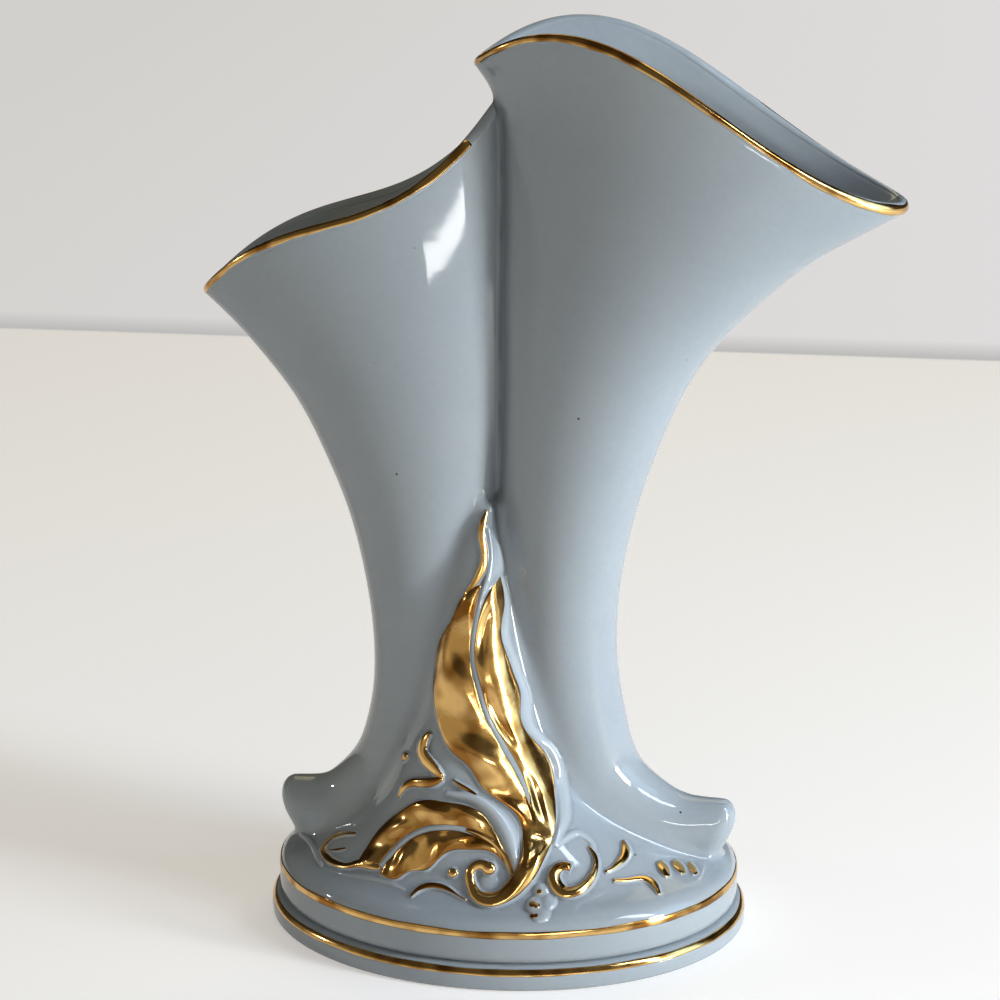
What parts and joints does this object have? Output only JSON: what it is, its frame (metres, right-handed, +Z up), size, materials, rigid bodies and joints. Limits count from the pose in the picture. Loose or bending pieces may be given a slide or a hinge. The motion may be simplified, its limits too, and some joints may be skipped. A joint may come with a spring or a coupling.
{
  "type": "double vase",
  "caption": "Double vase of two hollow horns on an oval two-step plinth, glazed pale grey-blue, with a gilded acanthus relief and gold lines.",
  "frame": {"origin": "middle of the plinth's flat underside", "axes": "+Z up, +X towards the tall horn's side, -Y towards the side with the acanthus relief"},
  "size_m": [0.1641, 0.0974, 0.2172],
  "materials": {
    "glaze": "glossy pale grey-blue glaze",
    "gold": "bright fired gilding"
  },
  "bodies": {
    "root": {"plinth_lower": "glaze", "plinth_upper": "glaze", "mound": "glaze", "short_horn": "glaze", "tall_horn": "glaze", "tall_leaf_midrib": "glaze", "tall_leaf_border": "glaze", "low_leaf_midrib": "glaze", "plinth_lower_gilding": "gold", "plinth_upper_gilding": "gold", "tall_horn_gilding": "gold", "short_horn_gilding": "gold", "tall_leaf_left_blade": "gold", "tall_leaf_right_blade": "gold", "tall_leaf_tendril": "gold", "tall_leaf_volute": "gold", "low_leaf_upper_blade": "gold", "low_leaf_lower_blade": "gold", "low_leaf_curl": "gold", "right_scroll": "gold", "left_sprig_upper": "gold", "left_sprig_lower": "gold", "left_bead": "gold", "foot_bead": "gold", "foot_sprig": "gold", "right_sprig_upper": "gold", "right_sprig_lower": "gold", "drop_1": "gold", "drop_2": "gold", "drop_3": "gold", "bud": "gold"}
  },
  "joints": []
}
